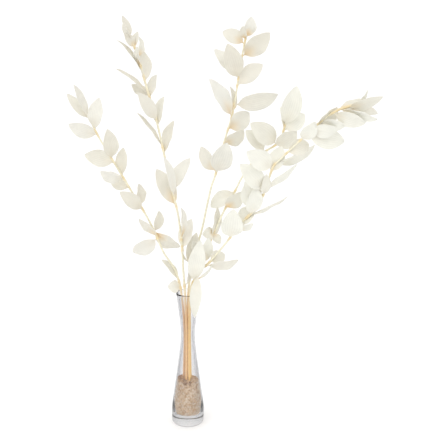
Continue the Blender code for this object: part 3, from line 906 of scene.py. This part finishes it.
@dataclass
class GranuleFill:
    """The granules: grains heaped against the glass and over the CAD fill, which stays as their core and is
    painted darker, as the shade between the grains.
    """

    vase: GlassVase
    grain: bpy.types.Material
    core: bpy.types.Material
    top: float = 66 * MM
    mound: float = 5 * MM
    mound_centre: Vector = field(default_factory=lambda: Vector((-7, 2)) * MM)
    mound_radius: float = 8 * MM
    grain_radius: float = 0.95 * MM
    spacing: float = 1.75 * MM
    glass_gap: float = 0.25 * MM
    row_share: float = 0.86
    top_row_share: float = 0.9
    turn_jitter: float = 0.15
    side_jitter: float = 0.35 * MM
    lift_jitter: float = 0.2 * MM
    top_jitter: float = 0.4 * MM
    heap: float = 0.9 * MM
    sizes: tuple[float, float] = (0.8, 1.12)
    flattening: tuple[float, float] = (0.75, 1.0)
    seed: int = 11
    # Painted shadow: the two gap places at the front just under the top, as middle and width in
    # millimetres, and how deep it reaches.
    painted_shadow_gaps: tuple[tuple[float, float], ...] = ((-4.0, 5.5), (3.5, 2.5))
    painted_shadow_depth: float = 2.5 * MM
    gap_painted_shadow: float = 0.08
    side_shades: tuple[float, float] = (0.3, 0.7)
    mound_shades: tuple[float, float] = (0.1, 0.15)
    top_shades: tuple[float, float] = (0.2, 0.5)

    def surface_height(self, x: float, y: float) -> float:
        """How high the granules lie at a place."""
        away = (Vector((x, y)) - self.mound_centre).length / self.mound_radius
        return self.top + self.mound * math.exp(-away * away)

    def rings(self) -> list[tuple[float, float]]:
        """The rings that the grains lie in, under the fill and up its sides.

        Returns:
            The rings, as distances from the axis and heights.
        """
        inset = self.glass_gap + self.grain_radius
        low = self.vase.floor + inset
        rings = []
        corner = self.vase.floor_rounding - inset
        edge = self.vase.inner_radius(self.vase.floor + self.vase.floor_rounding) - self.vase.floor_rounding
        away = self.spacing / 2
        while away < edge:
            rings.append((away, low))
            away += self.spacing
        turns = max(2, round(corner * math.pi / 2 / self.spacing))
        for turn in range(turns):
            angle = math.pi / 2 * turn / turns
            rings.append((edge + corner * math.sin(angle), low + corner * (1 - math.cos(angle))))
        height = low + corner
        while height < self.top + self.grain_radius:
            rings.append((self.vase.inner_radius(height) - inset, height))
            height += self.spacing * self.row_share
        return rings

    def places(self, draw: random.Random) -> list[Vector]:
        """The middles of all grains: in rings under and around the fill, and over its top.

        Args:
            draw: The source of their irregularities.

        Returns:
            The places, in the order that they are laid.
        """
        places = []
        for away, height in self.rings():
            count = max(1, round(math.tau * away / self.spacing))
            start = draw.random()
            for index in range(count):
                shift = draw.uniform(-self.turn_jitter, self.turn_jitter)
                angle = math.tau * (index + start + shift) / count
                inward = away - draw.random() * self.side_jitter
                lift = draw.uniform(-self.lift_jitter, self.lift_jitter)
                places.append(Vector((inward * math.cos(angle), inward * math.sin(angle), height + lift)))
        reach = self.vase.inner_radius(self.top) - self.glass_gap - self.grain_radius
        away = 0.0
        while away < reach:
            count = max(1, round(math.tau * away / self.spacing))
            start = draw.random()
            for index in range(count):
                angle = math.tau * (index + start) / count
                x = away * math.cos(angle) + draw.uniform(-self.top_jitter, self.top_jitter)
                y = away * math.sin(angle) + draw.uniform(-self.top_jitter, self.top_jitter)
                places.append(Vector((x, y, self.surface_height(x, y) + draw.uniform(0, self.heap))))
            away += self.spacing * self.top_row_share
        return places

    def shade_at(self, place: Vector, draw: random.Random) -> float:
        """How light a grain is: brown on the mound, and near umber with painted shadow in each gap at its
        front.

        Args:
            place: The grain's middle.
            draw: The source of chance.

        Returns:
            The grain's place on the scale of shades, from 0 to 1.
        """
        chance = draw.random()
        # Painted shadow: grains in a front gap just under the top get the darkest shades, for the shade
        # under the front edge.
        front = place.y < 0 and abs(place.z - self.top) < self.painted_shadow_depth
        if front and any(abs(place.x - middle * MM) < width * MM / 2 for middle, width in self.painted_shadow_gaps):
            return self.gap_painted_shadow * chance
        if place.z < self.top:
            darkest, spread = self.side_shades
            return darkest + spread * chance
        away = (Vector((place.x, place.y)) - self.mound_centre).length / self.mound_radius
        darkest, spread = self.mound_shades if away < 1 else self.top_shades
        return darkest + spread * chance

    def build(self, stems: Sequence["LeafyStem"]) -> bpy.types.Object:
        """Lays the grains, clear of the stems, and gives the core its own darker finish, painted shade
        between the grains.

        Args:
            stems: The stems that stand in the fill.

        Returns:
            The grains, as one piece.
        """
        draw = random.Random(self.seed)
        bm = bmesh.new()
        shade_layer = bm.verts.layers.float.new("shade")
        for place in self.places(draw):
            size = self.grain_radius * draw.uniform(*self.sizes)
            shade = self.shade_at(place, draw)
            turn = Matrix.Rotation(draw.uniform(0, math.tau), 4, "Z")
            turn @= Matrix.Rotation(draw.uniform(0, math.tau), 4, "X")
            flat = (draw.uniform(*self.flattening), draw.uniform(*self.flattening))
            stretch = Matrix.Diagonal((*flat, 1.0, 1.0))
            if any(stem.clearance(place) < size for stem in stems):
                continue
            grown = bmesh.ops.create_icosphere(
                bm, subdivisions=1, radius=size, matrix=Matrix.Translation(place) @ turn @ stretch
            )
            for corner in grown["verts"]:
                corner[shade_layer] = shade
        piece = make_piece("tan_granule_grains", bm, [self.grain])
        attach(piece, "root")
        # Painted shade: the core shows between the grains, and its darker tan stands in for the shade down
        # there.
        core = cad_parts["granules"]
        core.data.materials.clear()
        core.data.materials.append(self.core)
        return piece


@dataclass
class LeafyStem:
    """One ruscus stem: a ridged twig with a swelling at each node, and the leaves that spring there."""

    node: str
    plan: StemPlan
    twig: bpy.types.Material
    blade: bpy.types.Material
    seed: int
    foot_radius: float = 1.65 * MM
    tip_radius: float = 1.15 * MM
    points_per_span: int = 8
    sides: int = 16
    ridge: float = 0.05
    swelling: float = 0.4
    swelling_reach: float = 2.6 * MM
    node_stain: float = 0.7
    stalk_share: float = 0.10
    stalk_half_width: float = 0.6 * MM
    tip_half_width: float = 0.25 * MM
    blade_thickness: float = 0.45 * MM
    fold: float = 0.22
    twist: float = 9.0
    bow: float = 0.025
    curls: tuple[float, float] = (-0.25, 0.55)
    ripple_heights: tuple[float, float] = (0.04, 0.12)
    ripple_counts: tuple[float, float] = (1.4, 2.6)
    fold_spread: tuple[float, float] = (0.7, 1.25)
    tint_spread: float = 0.15
    across: int = 12
    along: int = 26
    points: list[Vector] = field(init=False)

    def __post_init__(self) -> None:
        """Works out the points along the twig."""
        knots = [Vector(point) * MM for point in self.plan.route]
        self.points = on_curve(knots, self.points_per_span)

    def radius_at(self, height: float) -> float:
        """The twig's radius at a height, without its nodes."""
        foot, tip = self.points[0].z, self.points[-1].z
        share = (height - foot) / (tip - foot)
        return self.foot_radius + (self.tip_radius - self.foot_radius) * share

    def nearness(self, height: float) -> float:
        """How near a height is to a node, from 0 to 1."""
        away = min(abs(height - leaf.at * MM) for leaf in self.plan.leaves)
        return math.exp(-((away / self.swelling_reach) ** 2))

    def point_at(self, height: float) -> Vector:
        """The place on the twig's middle at a height.

        Args:
            height: The height.

        Returns:
            The point, or the twig's tip where the height is above it.
        """
        for start, end in zip(self.points, self.points[1:]):
            if height <= end.z:
                return start.lerp(end, (height - start.z) / (end.z - start.z))
        return self.points[-1].copy()

    def clearance(self, place: Vector) -> float:
        """How far a place lies from the twig's skin, or a large number beyond its foot."""
        if place.z < self.points[0].z - self.foot_radius:
            return 1.0
        return (place - self.point_at(place.z)).length - self.radius_at(place.z)

    def build_twig(self) -> bpy.types.Object:
        """Extrudes a ridged ring along the twig and dresses it.

        Returns:
            The twig, as one piece.
        """
        bm = bmesh.new()
        node_layer = bm.verts.layers.float.new("node")
        warmth_layer = bm.verts.layers.float.new("warmth")
        unit = bmesh.ops.create_circle(bm, cap_ends=False, segments=self.sides, radius=1.0)
        ring = unit["verts"]
        for index, corner in enumerate(ring):
            corner.co *= 1 + self.ridge * (-1) ** index
        edges = list(bm.edges)
        first_edges = edges
        before = Matrix.Identity(4)
        for index, point in enumerate(self.points):
            if index:
                grown = bmesh.ops.extrude_edge_only(bm, edges=edges)["geom"]
                ring = [part for part in grown if isinstance(part, bmesh.types.BMVert)]
                inside = set(ring)
                found = [part for part in grown if isinstance(part, bmesh.types.BMEdge)]
                edges = [edge for edge in found if set(edge.verts) <= inside]
            ahead = self.points[min(index + 1, len(self.points) - 1)]
            behind = self.points[max(index - 1, 0)]
            lean = Vector((0, 0, 1)).rotation_difference(ahead - behind).to_matrix().to_4x4()
            near = self.nearness(point.z)
            radius = self.radius_at(point.z) * (1 + self.swelling * near)
            now = Matrix.Translation(point) @ lean @ Matrix.Diagonal((radius, radius, radius, 1.0))
            bmesh.ops.transform(bm, matrix=now @ before.inverted(), verts=ring)
            for corner in ring:
                corner[node_layer] = near * self.node_stain
                corner[warmth_layer] = self.plan.warmth
            before = now
        for loop in (first_edges, edges):
            bmesh.ops.edgeloop_fill(bm, edges=loop)
        bmesh.ops.recalc_face_normals(bm, faces=bm.faces)
        piece = make_piece(self.node.replace("branch", "twig"), bm, [self.twig])
        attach(piece, "root")
        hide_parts(self.node)
        return piece

    def half_width(self, share: float, width: float) -> float:
        """Half a leaf's width at a share of its length: a thin stalk, then an egg shape with a point.

        Args:
            share: How far along the leaf, from 0 at the stalk to 1 at the tip.
            width: The leaf's greatest width.

        Returns:
            Half the width there.
        """
        if share <= self.stalk_share:
            return self.stalk_half_width
        along = (share - self.stalk_share) / (1 - self.stalk_share)
        outline = max(math.sin(math.pi * along**0.85), 0) ** 0.75
        least = self.stalk_half_width if along < 0.5 else self.tip_half_width
        return max(width / 2 * outline, least)

    def blade_shape(self, leaf: Leaf, draw: random.Random) -> Callable[[float, float], Vector]:
        """Settles how one leaf lies.

        Args:
            leaf: The leaf.
            draw: The source of its small irregularities.

        Returns:
            A function from a place on the blade (-1 to 1 across, 0 to 1 along) to a point.
        """
        root = self.point_at(leaf.at * MM)
        chord = Vector((leaf.right, leaf.back, leaf.up)) * MM
        length = chord.length
        along = chord / length
        front = Vector((0, -1, 0))
        face = (front - along * front.dot(along)).normalized()
        face = Matrix.Rotation(math.radians(leaf.turn), 3, along) @ face
        side = along.cross(face)
        arch = leaf.arch * MM
        twist = math.radians(draw.uniform(-self.twist, self.twist))
        bow = draw.uniform(-self.bow, self.bow) * length
        curl = draw.uniform(*self.curls)
        ripple = draw.uniform(*self.ripple_heights)
        ripples = draw.uniform(*self.ripple_counts)
        phases = (draw.random(), draw.random())
        fold = self.fold * draw.uniform(*self.fold_spread)

        def place(across: float, share: float) -> Vector:
            """The point of the blade at a place on it."""
            slope = arch * 4 * (1 - 2 * share)
            out = (face * length - along * slope).normalized()
            turned = Matrix.Rotation(twist * (share - 0.4), 3, along)
            wide = turned @ side
            out = turned @ out
            half = self.half_width(share, leaf.width * MM)
            growth = min(share / 0.3, 1.0)
            edge = half * fold * abs(across) ** 1.5
            phase = phases[0] if across < 0 else phases[1]
            wave = half * ripple * across**2 * math.sin(math.tau * (ripples * share + phase)) * growth
            tip = max(share - 0.7, 0.0)
            lift = edge + wave - curl * length * tip**2
            bend = bow * 4 * share * (1 - share)
            middle = root + chord * share + face * (arch * 4 * share * (1 - share))
            return middle + wide * (half * across + bend) + out * lift

        return place

    def build_leaves(self) -> bpy.types.Object:
        """Shapes a grid into each leaf, gives the blades their thickness and dresses them.

        Returns:
            The stem's leaves, as one piece.
        """
        draw = random.Random(self.seed)
        bm = bmesh.new()
        tint_layer = bm.verts.layers.float.new("tint")
        stain_layer = bm.verts.layers.float.new("stain")
        uv_layer = bm.loops.layers.uv.new("leaf")
        for leaf in self.plan.leaves:
            place = self.blade_shape(leaf, draw)
            shift = draw.uniform(-self.tint_spread, self.tint_spread)
            tint = min(max(self.plan.tone.value + shift, 0.0), 1.0)
            grown = bmesh.ops.create_grid(bm, x_segments=self.across, y_segments=self.along, size=1.0)
            corners = set(grown["verts"])
            for face in {face for corner in corners for face in corner.link_faces}:
                for loop in face.loops:
                    loop[uv_layer].uv = (loop.vert.co.x / 2 + 0.5, loop.vert.co.y / 2 + 0.5)
            for corner in corners:
                across, share = corner.co.x, corner.co.y / 2 + 0.5
                corner.co = place(across, share)
                corner[tint_layer] = tint
                corner[stain_layer] = leaf.stain
        bmesh.ops.solidify(bm, geom=list(bm.faces), thickness=self.blade_thickness)
        piece = make_piece(self.node.replace("branch", "leaves"), bm, [self.blade])
        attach(piece, "root")
        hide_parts(self.node)
        return piece

    def build(self) -> list[bpy.types.Object]:
        """Builds the twig and its leaves."""
        return [self.build_twig(), self.build_leaves()]


@dataclass
class Studio:
    """The paper floor, the daylight from all round, the lamp and the camera."""

    paper: bpy.types.Material
    image_pixels: float = 435.0
    focal_pixels: float = 890.0
    axis_pixel: float = 187.9
    camera_place: Vector = field(default_factory=lambda: Vector((0, -1.190, 0.630)))
    camera_pitch: float = 15.06
    sensor: float = 36.0
    view_reach: float = 100.0
    floor_radius: float = 40.0
    floor_sides: int = 64
    daylight: float = 1.07
    lamp_strength: float = 0.55
    lamp_size: float = 50.0
    lamp_way: Vector = field(default_factory=lambda: Vector((0.35, 0.55, -1)))
    flag_shade: float = 0.5
    flag_edges: tuple[float, float] = (0.35, 0.85)

    def build_floor(self) -> bpy.types.Object:
        """Lays the paper under the vase.

        Returns:
            The floor.
        """
        bm = bmesh.new()
        bmesh.ops.create_circle(bm, cap_ends=True, segments=self.floor_sides, radius=self.floor_radius)
        floor = make_piece("paper_floor", bm, [self.paper])
        return floor

    def build_daylight(self) -> None:
        """Lights the scene from all round, with dark flags at both sides that give the glass its edges."""
        world = bpy.data.worlds.new("daylight")
        world.use_nodes = True
        tree = world.node_tree
        tree.nodes.clear()
        output = tree.nodes.new("ShaderNodeOutputWorld")
        ray = add_node(tree, "ShaderNodeLightPath")
        way = add_node(tree, "ShaderNodeTexCoord")
        parts = add_node(tree, "ShaderNodeSeparateXYZ", None, {0: way.outputs["Generated"]})
        aside = add_node(tree, "ShaderNodeMath", {"operation": "ABSOLUTE"}, {0: parts.outputs[0]})
        flagged = add_node(
            tree,
            "ShaderNodeMapRange",
            {"interpolation_type": "SMOOTHSTEP"},
            {0: aside.outputs[0], 1: self.flag_edges[0], 2: self.flag_edges[1], 3: 1.0, 4: self.flag_shade},
        )
        flags = add_node(
            tree, "ShaderNodeBackground", None, {"Color": linear("FFFFFF"), "Strength": flagged.outputs[0]}
        )
        soft = add_node(
            tree, "ShaderNodeBackground", None, {"Color": linear("FFFFFF"), "Strength": self.daylight}
        )
        white = add_node(tree, "ShaderNodeBackground", None, {"Color": linear("FFFFFF"), "Strength": 1.0})
        lit = add_node(
            tree,
            "ShaderNodeMixShader",
            None,
            {0: ray.outputs["Is Diffuse Ray"], 1: flags.outputs[0], 2: soft.outputs[0]},
        )
        seen = add_node(
            tree,
            "ShaderNodeMixShader",
            None,
            {0: ray.outputs["Is Camera Ray"], 1: lit.outputs[0], 2: white.outputs[0]},
        )
        tree.links.new(seen.outputs[0], output.inputs["Surface"])
        bpy.context.scene.world = world

    def build_lamp(self) -> None:
        """Hangs one broad lamp in front, high and to the left."""
        light = bpy.data.lights.new("broad_lamp", "SUN")
        light.energy = self.lamp_strength
        light.angle = math.radians(self.lamp_size)
        lamp = bpy.data.objects.new("broad_lamp", light)
        lamp.rotation_euler = self.lamp_way.to_track_quat("-Z", "Y").to_euler()
        bpy.context.scene.collection.objects.link(lamp)

    def build_camera(self) -> None:
        """Sets the camera where the photograph was taken from."""
        lens = bpy.data.cameras.new("camera")
        lens.sensor_width = self.sensor
        lens.lens = self.focal_pixels * self.sensor / self.image_pixels
        lens.shift_x = (self.image_pixels / 2 - self.axis_pixel) / self.image_pixels
        lens.clip_end = self.view_reach
        camera = bpy.data.objects.new("camera", lens)
        camera.location = self.camera_place
        camera.rotation_euler = (math.radians(90 - self.camera_pitch), 0, 0)
        bpy.context.scene.collection.objects.link(camera)
        bpy.context.scene.camera = camera

    def build(self) -> None:
        """Builds the whole studio."""
        self.build_camera()
        self.build_floor()
        self.build_daylight()
        self.build_lamp()
        bpy.context.scene.view_settings.view_transform = "Standard"


def main() -> None:
    """Builds the studio and each piece in turn, and reports them."""
    logging.basicConfig(level=logging.INFO, format="%(name)s: %(message)s")
    Studio(StudioPaper().material()).build()
    vase = GlassVase(ClearGlass().material())
    pieces = [vase.build()]
    twig = BleachedTwig().material()
    blade = BleachedLeaf().material()
    stems = []
    for seed, (node, plan) in enumerate(PLANS.items(), start=1):
        stem = LeafyStem(node, plan, twig, blade, seed)
        pieces += stem.build()
        stems.append(stem)
    grain = TanGranule("tan_granules", GRAIN_TONES_AND_GAP_SHADOW, "shade").material()
    core = TanGranule("tan_granule_core_painted_shade", CORE_PAINTED_SHADE).material()
    pieces.append(GranuleFill(vase, grain, core).build(stems))
    for piece in pieces:
        log.info("%s: %d faces", piece.name, len(piece.data.polygons))


if __name__ == "__main__":
    main()
